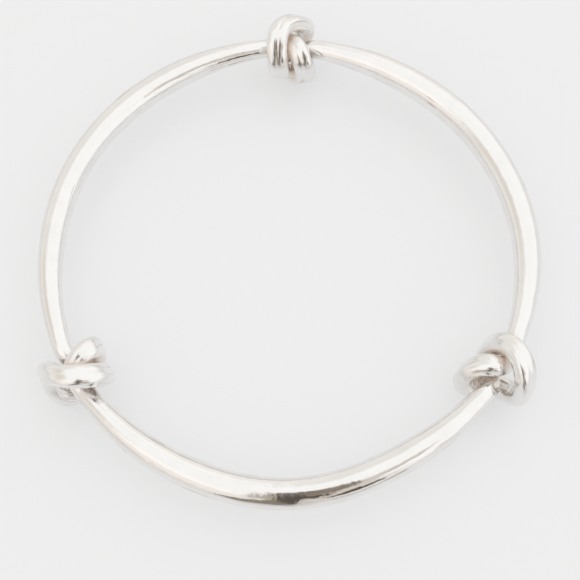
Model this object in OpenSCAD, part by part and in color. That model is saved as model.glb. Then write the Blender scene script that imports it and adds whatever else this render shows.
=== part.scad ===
// Knotted bangle: one round silver wire bent into a ring, tied in three overhand
// knots and soldered closed. The strands that wrap each knot are pressed flatter.
// It lies flat and rests on its knots.
// Millimetres, +Z up, origin on the surface it rests on, below the middle of its outline.

/* [Ring] */
// Radius from the middle of the ring to the middle of the wire
ring_radius = 34; // [33.5:0.5:38]
// Thickness of the wire in the knots
knot_wire = 2.75; // [2.5:0.05:2.75]
// How much thicker the wire is between the knots
swell = 1.55; // [0:0.05:1.7]
// How far the hand-bent ring strays from a true circle, 1 as made
hand_bent = 1; // [0:0.1:1.5]

/* [Knots] */
// Room between neighbouring strands of a knot, before they are pressed
strand_gap = 0.15; // [0.15:0.05:0.4]
// How much wider the wrapping strands are pressed, as a share of the wire
pressed_wider = 0.15; // [0:0.05:0.15]
// How much thinner the wrapping strands are pressed, as a share of the wire
pressed_thinner = 0.12; // [0.1:0.02:0.2]
// How flat the faces of the pressed strands are, 0 for plain ovals
pressed_flat = 1; // [0:0.1:1]

/* [View] */
// What to draw

/* [Hidden] */

// How the ring runs, at equal steps clockwise from the first knot.
// Columns: outward from the true circle in mm, share of the swell.
RUN = [
    [0.3, -0.05],
    [-0.2, 0.9],
    [0, 1],
    [0.2, 0.8],
    [0, -0.05],
    [-0.55, 0.9],
    [0.35, 1.05],
    [0.1, 0.9],
    [0.2, -0.05],
    [-0.1, 0.6],
    [0.1, 0.8],
    [0.05, 0.85]
];
run_step = 360 / len(RUN);

// Where the wire goes in each knot, clockwise, in strand spacings from the knot's middle.
// It dips under its own end, wraps over the front and back twice, and comes out again.
// Columns: along the ring, outward, up.
FAR_KNOT = [
    [-1.5, 0.05, -0.05],
    [-0.7, 0.1, -0.1],
    [-0.05, 0.15, 0.4],
    [0.45, -0.4, 1],
    [0.85, -1.2, 0.65],
    [1.15, -1.3, -0.35],
    [0.7, -0.9, -1.5],
    [-0.15, -0.15, -1.65],
    [0.05, 0.75, -1.55],
    [0.7, 1.15, -0.8],
    [0.9, 1.2, 0.2],
    [0.4, 1, 1.05],
    [-0.2, 0.5, 1.5],
    [-0.55, -0.25, 1.6],
    [-0.6, -1, 1.15],
    [-0.55, -1.5, 0.5],
    [-0.4, -1.25, -0.4],
    [0.1, -0.45, -0.5],
    [0.9, 0.05, -0.1],
    [1.8, 0.05, 0]
];
RIGHT_KNOT = [
    [-1.5, 0.1, -0.1],
    [-0.75, 0.2, -0.2],
    [-0.1, -0.05, 0.75],
    [0.15, -0.8, 0.7],
    [0.75, -1.35, 0.1],
    [1.15, -1.15, -0.9],
    [0.6, -0.6, -1.6],
    [-0.1, 0.3, -1.6],
    [0.1, 1.15, -1.2],
    [0.3, 1.55, -0.15],
    [-0.05, 1.35, 0.95],
    [-0.6, 0.8, 1.4],
    [-1.15, 0.05, 1.25],
    [-1.35, -0.75, 0.45],
    [-0.8, -1.1, -0.45],
    [-0.05, -0.5, -0.75],
    [0.6, 0.1, -0.1],
    [1.3, 0.05, 0.05],
    [1.9, 0, 0]
];
LEFT_KNOT = [
    [-1.5, 0.05, -0.05],
    [-0.7, 0.1, -0.1],
    [-0.1, 0.15, 0.5],
    [0.2, -0.55, 1],
    [0.45, -1.35, 0.7],
    [0.8, -1.5, -0.4],
    [0.5, -1.15, -1.5],
    [-0.3, -0.25, -1.7],
    [-0.45, 0.8, -1.65],
    [0.1, 1.25, -1],
    [0.65, 1.2, 0.1],
    [0.2, 1.05, 0.95],
    [-0.5, 0.5, 1.5],
    [-1, -0.35, 1.45],
    [-1.2, -1.15, 0.7],
    [-0.85, -1.25, -0.25],
    [0, -0.45, -0.5],
    [0.9, 0.05, -0.1],
    [1.8, 0.05, 0]
];
// The plain wire on each side of a knot, places along the ring
PLAIN = [2.4, 3.3, 4.2];
// The knots, clockwise. Columns: ring angle, where the wire goes.
KNOTS = [
    [88, FAR_KNOT],
    [-33.5, RIGHT_KNOT],
    [-151.5, LEFT_KNOT]
];
spacing = knot_wire + strand_gap;

core_reach = 0.35;   // strands this near the ring's circle, in spacings, stay round
press_reach = 0.6;   // over this much further out they turn from round to pressed
knot_steps = 4;      // sections between two rows of a knot
arc_step = 6;        // degrees between two sections of the plain arcs
sides = 18;          // sides of each section

function unit(v) = v / norm(v);
// From 0 to 1 with a soft start and end, as x goes from 0 to 1
function ease(x) = let (c = min(1, max(0, x))) c * c * (3 - 2 * c);

// Point of a smooth curve that follows the controls c, a share t after row i
function smooth_point(c, i, t) =
    (pow(1 - t, 3) * c[i - 1]
    + (3 * pow(t, 3) - 6 * t * t + 4) * c[i]
    + (3 * t + 3 * t * t - 3 * pow(t, 3) + 1) * c[i + 1]
    + pow(t, 3) * c[i + 2]) / 6;

// Value of a column of RUN at a ring angle, passing smoothly through its rows
function run_value(angle, column) =
    let (
        place = (KNOTS[0][0] - angle) / run_step,
        row = floor(place),
        t = place - row,
        v = [for (i = [-1:2]) RUN[(row + i + len(RUN)) % len(RUN)][column]]
    )
    v[1] + t * (v[2] - v[0] + t * (2 * v[0] - 5 * v[1] + 4 * v[2] - v[3]
        + t * (3 * (v[1] - v[2]) + v[3] - v[0]))) / 2;

// A place on the wire is [ring angle, outward, up]
function knot_route(knot) =
    let (
        controls = concat(
            [for (i = [len(PLAIN) - 1:-1:0]) [-PLAIN[i], 0, 0]],
            knot[1],
            [for (along = PLAIN) [along, 0, 0]]
        ),
        spans = len(controls) - 3,
        curve = concat(
            [for (i = [1:spans], s = [0:knot_steps - 1]) smooth_point(controls, i, s / knot_steps)],
            [smooth_point(controls, spans, 1)]
        )
    )
    [for (p = curve) [knot[0] - p[0] * spacing / ring_radius * 180 / PI, p[1] * spacing, p[2] * spacing]];

// Plain arc between the end of one knot and the start of the next
function arc_route(from, to) =
    let (count = floor((from - to) / arc_step))
    [for (i = [1:count - 1]) [from + (to - from) * i / count, 0, 0]];

routes = [for (k = KNOTS) knot_route(k)];
route = [
    for (k = [0:len(KNOTS) - 1])
        let (
            next = (k + 1) % len(KNOTS),
            last = len(routes[k]) - 1,
            lap = next == 0 ? 360 : 0
        )
        each concat(routes[k], arc_route(routes[k][last][0], routes[next][0][0] - lap))
];

middle = [
    for (p = route)
        let (r = ring_radius + hand_bent * run_value(p[0], 0) + p[1])
        [r * cos(p[0]), r * sin(p[0]), p[2]]
];
radii = [for (p = route) (knot_wire + swell * run_value(p[0], 1)) / 2];
count = len(middle);

tangents = [for (i = [0:count - 1]) unit(middle[(i + 1) % count] - middle[(i + count - 1) % count])];

// A direction across the wire, carried along it without twisting
function across(v, t) = unit(v - (v * t) * t);
carried = [
    for (i = 0, n = across([0, 0, 1], tangents[0]);
        i <= count;
        i = i + 1, n = across(n, tangents[i % count]))
        n
];
// What the carried direction has turned by when it is back at the start
closing_turn = atan2(
    carried[count] * cross(tangents[0], carried[0]),
    carried[count] * carried[0]
);

// Per section: the direction it is pressed from, away from the ring's circle,
// and how much, 0 round to 1 fully pressed
presses = [
    for (i = [0:count - 1])
        let (
            p = route[i],
            away = norm([p[1], p[2]]),
            out = away > 0 ? [p[1] * cos(p[0]), p[1] * sin(p[0]), p[2]] / away : [0, 0, 1],
            face = out - (out * tangents[i]) * tangents[i]
        )
        [
            face / max(norm(face), 0.001),
            ease((away / spacing - core_reach) / press_reach) * ease(norm(face))
        ]
];

// How far the surface is from the middle of a section, as a share of its radius
function reach(direction, press) =
    let (
        toward = abs(direction * press[0]),
        beside = sqrt(max(0, 1 - toward * toward)),
        power = 2 + pressed_flat * press[1]
    )
    pow(
        pow(toward / (1 - pressed_thinner * press[1]), power)
        + pow(beside / (1 + pressed_wider * press[1]), power),
        -1 / power
    );

skin = [
    for (i = [0:count - 1], j = [0:sides - 1])
        let (
            a = 360 * j / sides - closing_turn * i / count,
            direction = cos(a) * carried[i] + sin(a) * cross(tangents[i], carried[i])
        )
        middle[i] + radii[i] * reach(direction, presses[i]) * direction
];
faces = [
    for (i = [0:count - 1], j = [0:sides - 1])
        let (
            a = i * sides + j,
            b = i * sides + (j + 1) % sides,
            c = (i + 1) % count * sides + (j + 1) % sides,
            d = (i + 1) % count * sides + j
        )
        each [[a, c, b], [a, d, c]]
];

low = [for (k = [0:2]) min([for (p = skin) p[k]])];
high = [for (k = [0:2]) max([for (p = skin) p[k]])];
origin = [(low[0] + high[0]) / 2, (low[1] + high[1]) / 2, low[2]];

module bangle() {
    color("silver")
        translate(-origin)
            polyhedron(points = skin, faces = faces, convexity = 8);
}

bangle();
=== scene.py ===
"""Knotted silver bangle lying on a pale table in soft light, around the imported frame."""
import math

import bpy
import numpy as np
from mathutils import Matrix, Vector


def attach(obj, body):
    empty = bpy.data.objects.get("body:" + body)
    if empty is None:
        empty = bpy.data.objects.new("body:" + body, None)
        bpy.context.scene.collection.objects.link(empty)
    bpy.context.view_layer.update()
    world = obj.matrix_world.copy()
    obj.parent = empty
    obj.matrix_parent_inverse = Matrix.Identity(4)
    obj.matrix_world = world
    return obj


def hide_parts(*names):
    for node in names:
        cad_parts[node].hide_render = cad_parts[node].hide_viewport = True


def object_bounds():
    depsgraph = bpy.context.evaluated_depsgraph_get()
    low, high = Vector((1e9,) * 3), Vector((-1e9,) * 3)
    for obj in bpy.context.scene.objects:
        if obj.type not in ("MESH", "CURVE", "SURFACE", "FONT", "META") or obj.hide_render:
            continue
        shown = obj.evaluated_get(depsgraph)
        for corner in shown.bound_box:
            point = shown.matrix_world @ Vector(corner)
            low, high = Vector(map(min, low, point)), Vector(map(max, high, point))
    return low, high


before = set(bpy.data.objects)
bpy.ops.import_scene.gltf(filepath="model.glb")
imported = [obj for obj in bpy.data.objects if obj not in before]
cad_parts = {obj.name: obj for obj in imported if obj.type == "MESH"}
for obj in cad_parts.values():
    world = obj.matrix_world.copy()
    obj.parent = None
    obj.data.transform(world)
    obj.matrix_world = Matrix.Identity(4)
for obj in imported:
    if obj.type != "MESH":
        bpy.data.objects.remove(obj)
cad_low, cad_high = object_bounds()

MM = 0.001

# The wire's sizes and route: the same values and rows as in the part's source, in millimetres
RING_RADIUS = 34         # from the ring's middle to the middle of the wire
KNOT_WIRE = 2.75         # thickness of the wire in the knots
SWELL = 1.55             # how much thicker it is between them
STRAND_GAP = 0.15        # between neighbouring strands of a knot, before they are pressed
PRESSED_WIDER = 0.15     # how much wider a strand is where it is pressed, as a share of the wire
PRESSED_THINNER = 0.12   # how much thinner it is there, as a share of the wire
PRESSED_FLAT = 1         # how flat its faces are there, 0 for a plain oval
CORE_REACH = 0.35        # strands this near the ring's circle, in spacings, stay round
PRESS_REACH = 0.6        # over this much further out they turn from round to pressed
SPACING = KNOT_WIRE + STRAND_GAP

# At equal steps clockwise from the first knot: outward from the circle, share of the swell
RUN = [
    [0.3, -0.05], [-0.2, 0.9], [0, 1], [0.2, 0.8],
    [0, -0.05], [-0.55, 0.9], [0.35, 1.05], [0.1, 0.9],
    [0.2, -0.05], [-0.1, 0.6], [0.1, 0.8], [0.05, 0.85],
]
# Where the wire goes in each knot, in strand spacings: along the ring, outward, up
FAR_KNOT = [
    [-1.5, 0.05, -0.05], [-0.7, 0.1, -0.1], [-0.05, 0.15, 0.4], [0.45, -0.4, 1],
    [0.85, -1.2, 0.65], [1.15, -1.3, -0.35], [0.7, -0.9, -1.5], [-0.15, -0.15, -1.65],
    [0.05, 0.75, -1.55], [0.7, 1.15, -0.8], [0.9, 1.2, 0.2], [0.4, 1, 1.05],
    [-0.2, 0.5, 1.5], [-0.55, -0.25, 1.6], [-0.6, -1, 1.15], [-0.55, -1.5, 0.5],
    [-0.4, -1.25, -0.4], [0.1, -0.45, -0.5], [0.9, 0.05, -0.1], [1.8, 0.05, 0],
]
RIGHT_KNOT = [
    [-1.5, 0.1, -0.1], [-0.75, 0.2, -0.2], [-0.1, -0.05, 0.75], [0.15, -0.8, 0.7],
    [0.75, -1.35, 0.1], [1.15, -1.15, -0.9], [0.6, -0.6, -1.6], [-0.1, 0.3, -1.6],
    [0.1, 1.15, -1.2], [0.3, 1.55, -0.15], [-0.05, 1.35, 0.95], [-0.6, 0.8, 1.4],
    [-1.15, 0.05, 1.25], [-1.35, -0.75, 0.45], [-0.8, -1.1, -0.45], [-0.05, -0.5, -0.75],
    [0.6, 0.1, -0.1], [1.3, 0.05, 0.05], [1.9, 0, 0],
]
LEFT_KNOT = [
    [-1.5, 0.05, -0.05], [-0.7, 0.1, -0.1], [-0.1, 0.15, 0.5], [0.2, -0.55, 1],
    [0.45, -1.35, 0.7], [0.8, -1.5, -0.4], [0.5, -1.15, -1.5], [-0.3, -0.25, -1.7],
    [-0.45, 0.8, -1.65], [0.1, 1.25, -1], [0.65, 1.2, 0.1], [0.2, 1.05, 0.95],
    [-0.5, 0.5, 1.5], [-1, -0.35, 1.45], [-1.2, -1.15, 0.7], [-0.85, -1.25, -0.25],
    [0, -0.45, -0.5], [0.9, 0.05, -0.1], [1.8, 0.05, 0],
]
# The plain wire on each side of a knot, places along the ring in strand spacings
PLAIN = [2.4, 3.3, 4.2]
# The knots, clockwise: ring angle in degrees, where the wire goes
KNOTS = [
    (88, FAR_KNOT),
    (-33.5, RIGHT_KNOT),
    (-151.5, LEFT_KNOT),
]

# What the visible mesh has beyond the part's source, in millimetres where not said otherwise
KNOT_STEPS = 14          # sections between two rows of a knot
ARC_STEP = 1.0           # degrees between two sections of the plain arcs
SIDES = 80               # sides of each section
FOLD = 0.04              # depth of the soft fold along the flat faces of a pressed strand
FOLD_WIDTH = 0.2         # how far it spreads from their middle, as a share of the wire's radius
CREVICE = 1.8            # nearer than this to another strand the silver is dulled and painted with brown reflected light
KNOT_SIZE = 4            # only sections this near a knot's middle, in spacings, have such a strand
SAME_STRAND = 1.6        # sections nearer than this along the wire, in spacings, are one strand
TINY = 0.001             # stands in for a length of 0 before dividing by it


def ease(x):
    """From 0 to 1 with a soft start and end, as x goes from 0 to 1."""
    x = np.clip(x, 0, 1)
    return x * x * (3 - 2 * x)


def run_value(angle, column):
    """Value of a column of RUN at a ring angle, passing smoothly through its rows."""
    place = (KNOTS[0][0] - angle) / (360 / len(RUN))
    row = math.floor(place)
    t = place - row
    a, b, c, d = (RUN[(row + i) % len(RUN)][column] for i in (-1, 0, 1, 2))
    return b + t * (c - a + t * (2 * a - 5 * b + 4 * c - d + t * (3 * (b - c) + d - a))) / 2


def smooth_point(c, i, t):
    """Point of a smooth curve that follows the controls c, a share t after row i."""
    return (
        (1 - t) ** 3 * c[i - 1]
        + (3 * t**3 - 6 * t * t + 4) * c[i]
        + (3 * t + 3 * t * t - 3 * t**3 + 1) * c[i + 1]
        + t**3 * c[i + 2]
    ) / 6


def knot_route(angle, rows):
    """Places on the wire through one knot, each ring angle, outward, up."""
    before = [(-along, 0, 0) for along in reversed(PLAIN)]
    after = [(along, 0, 0) for along in PLAIN]
    controls = np.array(before + rows + after, float)
    spans = len(controls) - 3
    steps = [(i, s / KNOT_STEPS) for i in range(1, spans + 1) for s in range(KNOT_STEPS)]
    curve = np.array([smooth_point(controls, i, t) for i, t in steps + [(spans, 1)]])
    turned = np.degrees(curve[:, 0] * SPACING / RING_RADIUS)
    return np.stack([angle - turned, curve[:, 1] * SPACING, curve[:, 2] * SPACING], 1)


def whole_route():
    """Places on the wire all the way round, the knots and the plain arcs between them."""
    routes = [knot_route(angle, rows) for angle, rows in KNOTS]
    places = []
    for k, through_knot in enumerate(routes):
        lap = 360 if k == len(KNOTS) - 1 else 0
        start = through_knot[-1][0]
        end = routes[(k + 1) % len(KNOTS)][0][0] - lap
        count = int((start - end) / ARC_STEP)
        places += list(through_knot)
        places += [(start + (end - start) * i / count, 0, 0) for i in range(1, count)]
    return np.array(places)


def carried_across(tangents):
    """Two directions across each section, carried along the wire and joined up at its end."""
    carried = []
    direction = np.array([0.0, 0.0, 1.0])
    for tangent in np.vstack([tangents, tangents[:1]]):
        direction = direction - direction.dot(tangent) * tangent
        direction /= np.linalg.norm(direction)
        carried.append(direction)
    first, last = carried[0], carried[-1]
    closing = math.atan2(last.dot(np.cross(tangents[0], first)), last.dot(first))
    one = np.array(carried[:-1])
    two = np.cross(tangents, one)
    back = -closing * np.arange(len(tangents)) / len(tangents)
    cos, sin = np.cos(back)[:, None], np.sin(back)[:, None]
    return cos * one + sin * two, cos * two - sin * one


def pressing(route, tangents):
    """Per section: the direction it is pressed from, and how much, 0 round to 1 fully pressed."""
    around = np.radians(route[:, 0])
    away = np.hypot(route[:, 1], route[:, 2])
    out = np.stack([route[:, 1] * np.cos(around), route[:, 1] * np.sin(around), route[:, 2]], 1)
    out /= np.maximum(away, TINY)[:, None]
    face = out - (out * tangents).sum(1)[:, None] * tangents
    lean = np.linalg.norm(face, axis=1)
    face /= np.maximum(lean, TINY)[:, None]
    return face, ease((away / SPACING - CORE_REACH) / PRESS_REACH) * ease(lean)


def section_reach(across, face, press, radii):
    """How far the skin is from the wire's middle, per section and side, in mm."""
    toward = np.abs((across * face[:, None]).sum(-1))
    beside = np.sqrt(np.maximum(0, 1 - toward**2))
    power = 2 + PRESSED_FLAT * press
    oval = (
        (toward / (1 - PRESSED_THINNER * press)) ** power
        + (beside / (1 + PRESSED_WIDER * press)) ** power
    ) ** (-1 / power)
    return oval * radii[:, None] - FOLD * press * np.exp(-((beside / FOLD_WIDTH) ** 2))


def lengths(middle):
    """Length of the wire from the first section to the one that follows each, in mm."""
    return np.cumsum(np.linalg.norm(np.roll(middle, -1, 0) - middle, axis=1))


def crevices(middle, radii, skin):
    """How deep each point of the skin lies between strands, 0 in the open to 1 where they touch."""
    length = lengths(middle)
    gap = np.full(skin.shape[:2], CREVICE)
    for angle, _ in KNOTS:
        around = math.radians(angle)
        knot_middle = RING_RADIUS * np.array([math.cos(around), math.sin(around), 0])
        near = np.nonzero(np.linalg.norm(middle - knot_middle, axis=1) < KNOT_SIZE * SPACING)[0]
        for i in near:
            along = np.abs(length[near] - length[i])
            along = np.minimum(along, length[-1] - along)
            others = near[along > SAME_STRAND * SPACING]
            apart = np.linalg.norm(skin[i][:, None] - middle[others][None], axis=2)
            gap[i] = (apart - radii[others]).min(1)
    return ease(1 - gap / CREVICE)


def tube_faces(count):
    """Four-sided faces between neighbouring sections, closed both ways."""
    i, j = np.meshgrid(np.arange(count), np.arange(SIDES), indexing="ij")
    next_i, next_j = (i + 1) % count, (j + 1) % SIDES
    corners = [(i, j), (i, next_j), (next_i, next_j), (next_i, j)]
    return np.stack([a * SIDES + b for a, b in corners], -1).reshape(-1, 4)


def store(mesh, name, kind, field, values):
    """Keep a value for each point of the mesh under a name, for the material to read."""
    layer = mesh.attributes.new(name, kind, "POINT")
    layer.data.foreach_set(field, values.astype(np.float32).ravel())


def make_bangle():
    """The bangle as one closed mesh, and where the middle of its ring lies, in metres."""
    route = whole_route()
    around = np.radians(route[:, 0])
    radius = RING_RADIUS + np.array([run_value(a, 0) for a in route[:, 0]]) + route[:, 1]
    middle = np.stack([radius * np.cos(around), radius * np.sin(around), route[:, 2]], 1)
    radii = (KNOT_WIRE + SWELL * np.array([run_value(a, 1) for a in route[:, 0]])) / 2
    tangents = np.roll(middle, -1, 0) - np.roll(middle, 1, 0)
    tangents /= np.linalg.norm(tangents, axis=1)[:, None]
    one, two = carried_across(tangents)
    face, press = pressing(route, tangents)
    press = press[:, None]

    turn = 2 * np.pi * np.arange(SIDES) / SIDES
    cos, sin = np.cos(turn)[None, :, None], np.sin(turn)[None, :, None]
    across = cos * one[:, None] + sin * two[:, None]
    reach = section_reach(across, face, press, radii)
    skin = middle[:, None] + reach[..., None] * across

    # The mesh lies in the middle of the CAD part's box
    cad_middle = (np.array(cad_low) + np.array(cad_high)) / 2 / MM
    shift = cad_middle - (skin.min((0, 1)) + skin.max((0, 1))) / 2
    points = ((skin + shift) * MM).reshape(-1, 3)
    mesh = bpy.data.meshes.new("silver_wire")
    mesh.from_pydata(points.tolist(), [], tube_faces(len(middle)).tolist())
    mesh.polygons.foreach_set("use_smooth", [True] * len(mesh.polygons))

    # Length along the wire and place in its section, in mm, for the marks in the metal.
    # The length starts where the wire runs hidden through the first knot.
    length = lengths(middle)
    hidden = (len(PLAIN) + 1) * KNOT_STEPS
    place = np.empty((len(middle), SIDES, 3))
    place[..., 0] = ((np.roll(length, 1) - length[hidden - 1]) % length[-1])[:, None]
    place[..., 1] = reach * np.cos(turn)
    place[..., 2] = reach * np.sin(turn)
    store(mesh, "wire_place", "FLOAT_VECTOR", "vector", place)
    # How much the polish is worn by pressing, and how deep between strands, where it is dulled and
    # painted with brown reflected light
    store(mesh, "pressed", "FLOAT", "value", np.repeat(press, SIDES, 1))
    store(mesh, "crevice", "FLOAT", "value", crevices(middle, radii, skin))
    mesh.update()

    obj = bpy.data.objects.new("silver_wire", mesh)
    bpy.context.scene.collection.objects.link(obj)
    return obj, Vector(shift * MM)


# Helpers for node trees

def new_material(name):
    """An empty material, and its node tree."""
    material = bpy.data.materials.new(name)
    material.use_nodes = True
    material.node_tree.nodes.clear()
    return material, material.node_tree


def add_node(tree, kind, inputs, **settings):
    """A new node; each input, by name or number, is a plain value or another node's output."""
    node = tree.nodes.new("ShaderNode" + kind)
    for name, value in settings.items():
        setattr(node, name, value)
    for name, value in inputs.items():
        socket = node.inputs[name]
        if isinstance(value, bpy.types.NodeSocket):
            tree.links.new(value, socket)
        elif socket.type == "RGBA":
            socket.default_value = (*value, 1)
        else:
            socket.default_value = value
    return node


def maths(tree, operation, *values):
    """One step of arithmetic on numbers and outputs."""
    return add_node(tree, "Math", dict(enumerate(values)), operation=operation).outputs["Value"]


def fade(tree, value, start, end):
    """Smoothly from 0 to 1 as the value goes from start to end."""
    limits = {"Value": value, "From Min": start, "From Max": end}
    return add_node(tree, "MapRange", limits, interpolation_type="SMOOTHSTEP").outputs["Result"]


def blend(tree, mask, below, above):
    """The colour below where the mask is 0, the one above where it is 1."""
    colours = {"Factor": mask, "A": below, "B": above}
    return add_node(tree, "Mix", colours, data_type="RGBA").outputs["Result"]


def ramp(tree, value, stops):
    """Colour by value, between stops of position and colour."""
    node = add_node(tree, "ValToRGB", {"Fac": value})
    for element, (position, colour) in zip(node.color_ramp.elements, stops):
        element.position = position
        element.color = (*colour, 1)
    return node.outputs["Color"]


def grey(level):
    """A colour with the same red, green and blue."""
    return (level, level, level)


# Silver

WARM_SILVER = (0.87, 0.86, 0.845)
COOL_SILVER = (0.90, 0.895, 0.885)
# The brown of the flank streaks: tarnish, and painted dark reflection
TARNISH_AND_DARK_REFLECTION = (0.50, 0.42, 0.35)
PAINTED_BOUNCE_LIGHT = (0.86, 0.76, 0.68)       # painted brown light deep between strands, in place of light reflected between them
BOUNCE_LIGHT_COVER = 0.72               # how much of the metal's mirroring it takes away
FLANK_STREAK_START = 0.9             # how level the surface is where the tarnish and painted dark reflection start, 1 is fully level
FLANK_STREAK_FULL = 0.7              # how level it is where they are full
POLISHED = 0.10                 # roughness where the polish is bright
HAZED = 0.15                    # roughness where it is slightly hazed
WORN_BY_PRESSING = 0.06         # what pressing adds to the roughness
DULLED_IN_CREVICES = 0.12           # what being deep between strands adds to it

# The relief of the surface, from the bottom up. Columns: strength, depth in mm, and of its
# noise: how many features in a mm, how many times as many along and across the wire, detail.
RELIEF = [
    (0.7, 0.06, 0.8, (0.7, 1, 1), 2),           # soft hammering
    (0.7, 0.011, 1.6, (0.35, 1, 1), 1),         # longish dents
    (0.06, 0.02, 14, (0.08, 1, 1), 3),          # hairline scratches
]


def silver_material():
    """Polished silver with a soft relief, brown flank streaks of tarnish and painted dark
    reflection, and painted brown reflected light in its crevices.
    """
    material, tree = new_material("polished_silver")

    def stored(name, output):
        """What the mesh keeps for each of its points under a name."""
        return add_node(tree, "Attribute", {}, attribute_name=name).outputs[output]

    place = stored("wire_place", "Vector")
    pressed = stored("pressed", "Fac")
    crevice = stored("crevice", "Fac")

    def noise(scale, finer=(1, 1, 1), detail=2):
        """Noise over the place along the wire and across it, drawn out where finer is below 1."""
        mapping = add_node(tree, "Mapping", {"Vector": place, "Scale": finer})
        spread = {"Vector": mapping.outputs["Vector"], "Scale": scale, "Detail": detail}
        return add_node(tree, "TexNoise", spread).outputs["Fac"]

    # A faint warm and cool variation of the polish, over some millimetres
    tone = ramp(tree, noise(0.35), [(0.3, WARM_SILVER), (0.7, COOL_SILVER)])

    # Thin brown streaks along the flanks of the wire, by how far the surface faces up: tarnish
    # where wear doesn't polish it, and painted dark reflection
    streaks = ramp(tree, noise(1, finer=(0.16, 2.6, 2.6)), [(0.63, grey(0)), (0.72, grey(0.8))])
    normal = add_node(tree, "NewGeometry", {}).outputs["Normal"]
    level = maths(tree, "ABSOLUTE", add_node(tree, "SeparateXYZ", {"Vector": normal}).outputs["Z"])
    flank = fade(tree, level, FLANK_STREAK_START, FLANK_STREAK_FULL)
    tarnish_and_reflection = blend(tree, maths(tree, "MULTIPLY", streaks, flank), tone, TARNISH_AND_DARK_REFLECTION)

    # Painted brown light where strands meet, standing in for light reflected between them
    colour = blend(tree, crevice, tarnish_and_reflection, PAINTED_BOUNCE_LIGHT)
    metallic = maths(tree, "SUBTRACT", 1, maths(tree, "MULTIPLY", crevice, BOUNCE_LIGHT_COVER))

    # Polish between bright and slightly hazed, duller where pressed and deep between strands
    polish = ramp(tree, noise(0.8, detail=4), [(0.35, grey(POLISHED)), (0.7, grey(HAZED))])
    worn = maths(tree, "MULTIPLY", pressed, WORN_BY_PRESSING)
    dulled = maths(tree, "MULTIPLY", crevice, DULLED_IN_CREVICES)
    roughness = maths(tree, "ADD", polish, maths(tree, "ADD", worn, dulled))

    # Each bump goes over the one before, and the shader takes the last
    under = {}
    for strength, depth, scale, finer, detail in RELIEF:
        height = noise(scale, finer, detail)
        bump = {"Strength": strength, "Distance": depth * MM, "Height": height}
        under = {"Normal": add_node(tree, "Bump", bump | under).outputs["Normal"]}

    finish = {"Base Color": colour, "Metallic": metallic, "Roughness": roughness}
    shader = add_node(tree, "BsdfPrincipled", finish | under)
    add_node(tree, "OutputMaterial", {"Surface": shader.outputs[0]})
    return material


# Table and cloths

TABLE_HALF = 2.5   # half the table's side, in metres

# Dark and brown cloths round the camera stand, seen only where something mirrors them.
# Columns: distance in metres, colour, and corners as azimuth from +X and elevation in degrees.
FLAGS = [
    (0.90, (0.085, 0.072, 0.062),
     [(264, 76), (275, 76), (276, 45), (274, 25), (272, 0), (268, 0), (264, 38)]),
    (0.92, (0.10, 0.083, 0.066),
     [(275, 50), (284, 43), (290, 31), (302, 18), (302, 9), (286, 10), (276, 30)]),
    (0.93, (0.38, 0.325, 0.27),
     [(275, 52), (290, 51), (302, 49), (320, 42), (320, 39), (302, 42), (290, 46)]),
    (0.94, (0.28, 0.235, 0.19),
     [(264, 38), (266, 28), (270, 0), (244, 0), (244, 6), (252, 14), (258, 26)]),
    (0.96, (0.20, 0.17, 0.15),
     [(256, 82), (264, 62), (276, 66), (283, 76), (300, 80), (290, 82)]),
    (0.98, (0.26, 0.215, 0.17),
     [(274, 80), (296, 79), (306, 70), (303, 56), (294, 50), (284, 42), (275, 44)]),
    (0.99, (0.50, 0.44, 0.37),
     [(256, 76), (265, 76), (265, 35), (254, 35)]),
    (1.00, (0.72, 0.67, 0.62),
     [(273, 45), (286, 45), (302, 60), (328, 57), (326, 40), (303, 40), (303, 12), (273, 0)]),
]


def flat(name, corners, material):
    """A flat sheet that stages the part and isn't a piece of it."""
    mesh = bpy.data.meshes.new(name)
    mesh.from_pydata(corners, [], [tuple(range(len(corners)))])
    mesh.materials.append(material)
    obj = bpy.data.objects.new(name, mesh)
    bpy.context.scene.collection.objects.link(obj)
    return obj


def table_material():
    """A white polished table, lit from within a little, so that shadows on it stay faint."""
    material, tree = new_material("pale_table")
    paint = add_node(tree, "BsdfDiffuse", {"Color": (0.43, 0.434, 0.44)})
    glow = add_node(tree, "Emission", {"Color": (0.99, 0.995, 1), "Strength": 0.45})
    lit_paint = add_node(tree, "AddShader", {0: paint.outputs[0], 1: glow.outputs[0]})
    polish = add_node(tree, "BsdfAnisotropic", {"Roughness": 0.3})
    grazing = add_node(tree, "Fresnel", {"IOR": 1.4})
    layers = {0: grazing.outputs[0], 1: lit_paint.outputs[0], 2: polish.outputs[0]}
    both = add_node(tree, "MixShader", layers)
    add_node(tree, "OutputMaterial", {"Surface": both.outputs[0]})
    return material


def flag_material(name, colour):
    """An even colour, whatever light falls on it."""
    material, tree = new_material(name)
    glow = add_node(tree, "Emission", {"Color": colour})
    add_node(tree, "OutputMaterial", {"Surface": glow.outputs[0]})
    return material


def toward(azimuth, elevation):
    """The direction at an azimuth and elevation in degrees."""
    a, e = math.radians(azimuth), math.radians(elevation)
    return Vector((math.cos(a) * math.cos(e), math.sin(a) * math.cos(e), math.sin(e)))


def make_table():
    """The table under the bangle."""
    signs = [(-1, -1), (1, -1), (1, 1), (-1, 1)]
    flat("floor", [(x * TABLE_HALF, y * TABLE_HALF, 0) for x, y in signs], table_material())


def make_flags():
    """The cloths, hidden from the camera and from the table's paint."""
    for number, (distance, colour, directions) in enumerate(FLAGS):
        name = f"flag_{number}"
        corners = [distance * toward(*direction) for direction in directions]
        flag = flat(name, corners, flag_material(name, colour))
        flag.visible_camera = False
        flag.visible_diffuse = False


# Light

WALL = (0.885, 0.86, 0.825)   # the colour of the walls

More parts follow.
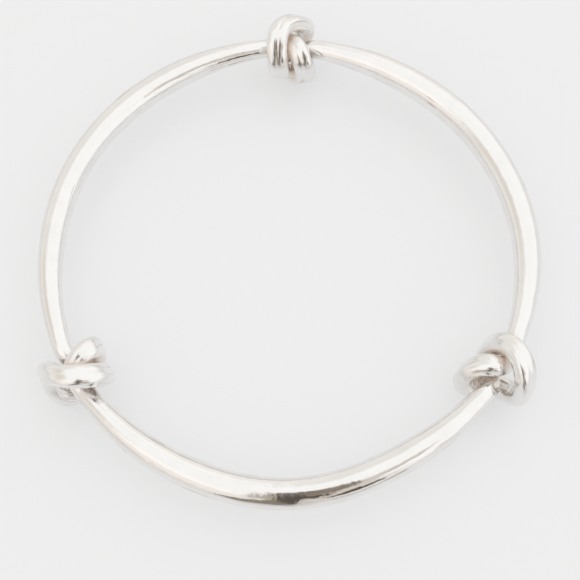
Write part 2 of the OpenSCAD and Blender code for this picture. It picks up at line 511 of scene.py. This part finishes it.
# The room round the table, each row over the ones before. Columns: middle and half width as
# azimuth from +X, lowest and highest elevation or None where it goes on, softness of the
# edge, all in degrees, and colour.
ROOM = [
    (75, 20, None, 25, 6, (0.95, 0.91, 0.86)),      # a lighter wall beyond the window
    (172, 20, 25, 50, 8, (0.80, 0.74, 0.67)),       # a beige corner
    (205, 14, None, 14, 5, (0.78, 0.73, 0.69)),     # something low beside it
    (224, 24, 14, 40, 7, (0.99, 0.92, 0.86)),       # the lamp's glow on the left
    (222, 28, 38, None, 7, (1.13, 1.09, 1.05)),     # a lamp on the left
    (15, 74, 27, None, 7, (1.07, 1.06, 1.05)),      # a window on the right
    (5, 55, 8, 40, 6, (1.07, 1.06, 1.055)),         # its lower half
    (0, 24, None, 11, 5, (0.88, 0.87, 0.86)),       # its sill
    (0, 180, 56, None, 5, (1.05, 1.045, 1.035)),    # soft light overhead
]


def make_room():
    """The world's light: soft panels of colour by azimuth and elevation."""
    world = bpy.data.worlds.new("studio")
    world.use_nodes = True
    bpy.context.scene.world = world
    tree = world.node_tree
    looking = add_node(tree, "TexCoord", {}).outputs["Generated"]
    axes = add_node(tree, "SeparateXYZ", {"Vector": looking}).outputs
    elevation = maths(tree, "DEGREES", maths(tree, "ARCSINE", axes["Z"]))
    azimuth = maths(tree, "DEGREES", maths(tree, "ARCTAN2", axes["Y"], axes["X"]))

    light = WALL
    for middle, half_width, low, high, soft, colour in ROOM:
        turned = maths(tree, "WRAP", maths(tree, "SUBTRACT", azimuth, middle), 180, -180)
        aside = maths(tree, "ABSOLUTE", turned)
        mask = fade(tree, aside, half_width + soft, half_width - soft)
        if low is not None:
            mask = maths(tree, "MULTIPLY", mask, fade(tree, elevation, low - soft, low + soft))
        if high is not None:
            mask = maths(tree, "MULTIPLY", mask, fade(tree, elevation, high + soft, high - soft))
        light = blend(tree, mask, light, colour)
    background = tree.nodes["Background"]
    tree.links.new(light, background.inputs["Color"])
    background.inputs["Strength"].default_value = 1
    bpy.context.scene.view_settings.view_transform = "Standard"


# Camera, from the ellipse that the wire follows in the photo

CAMERA_ELEVATION = math.radians(67.5)   # above the table
CAMERA_ROLL = math.radians(2.05)
CAMERA_DISTANCE = 189.2 * MM            # from the middle of the ring
SENSOR_WIDTH = 36                       # in millimetres
IMAGE_SIDE = 580                        # in pixels, as the focal length and the shift are
FOCAL_LENGTH = 1322.9
SHIFT_X, SHIFT_Y = 2.64, -34.68


def make_camera(ring_centre):
    """The photo's camera, placed from the middle of the ring."""
    sin_e, cos_e = math.sin(CAMERA_ELEVATION), math.cos(CAMERA_ELEVATION)
    sin_r, cos_r = math.sin(CAMERA_ROLL), math.cos(CAMERA_ROLL)
    back = Vector((0, -cos_e, sin_e))
    right, up = Vector((1, 0, 0)), Vector((0, sin_e, cos_e))
    x_axis = right * cos_r - up * sin_r
    y_axis = right * sin_r + up * cos_r

    lens = bpy.data.cameras.new("camera")
    lens.sensor_width = SENSOR_WIDTH
    lens.lens = FOCAL_LENGTH / IMAGE_SIDE * SENSOR_WIDTH
    lens.shift_x, lens.shift_y = SHIFT_X / IMAGE_SIDE, SHIFT_Y / IMAGE_SIDE
    camera = bpy.data.objects.new("camera", lens)
    bpy.context.scene.collection.objects.link(camera)
    pose = Matrix((x_axis, y_axis, back)).transposed().to_4x4()
    pose.translation = ring_centre + back * CAMERA_DISTANCE
    camera.matrix_world = pose
    bpy.context.scene.camera = camera


bangle, ring_centre = make_bangle()
bangle.data.materials.append(silver_material())
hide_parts("bangle")
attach(bangle, "root")

make_table()
make_flags()
make_room()
make_camera(ring_centre)
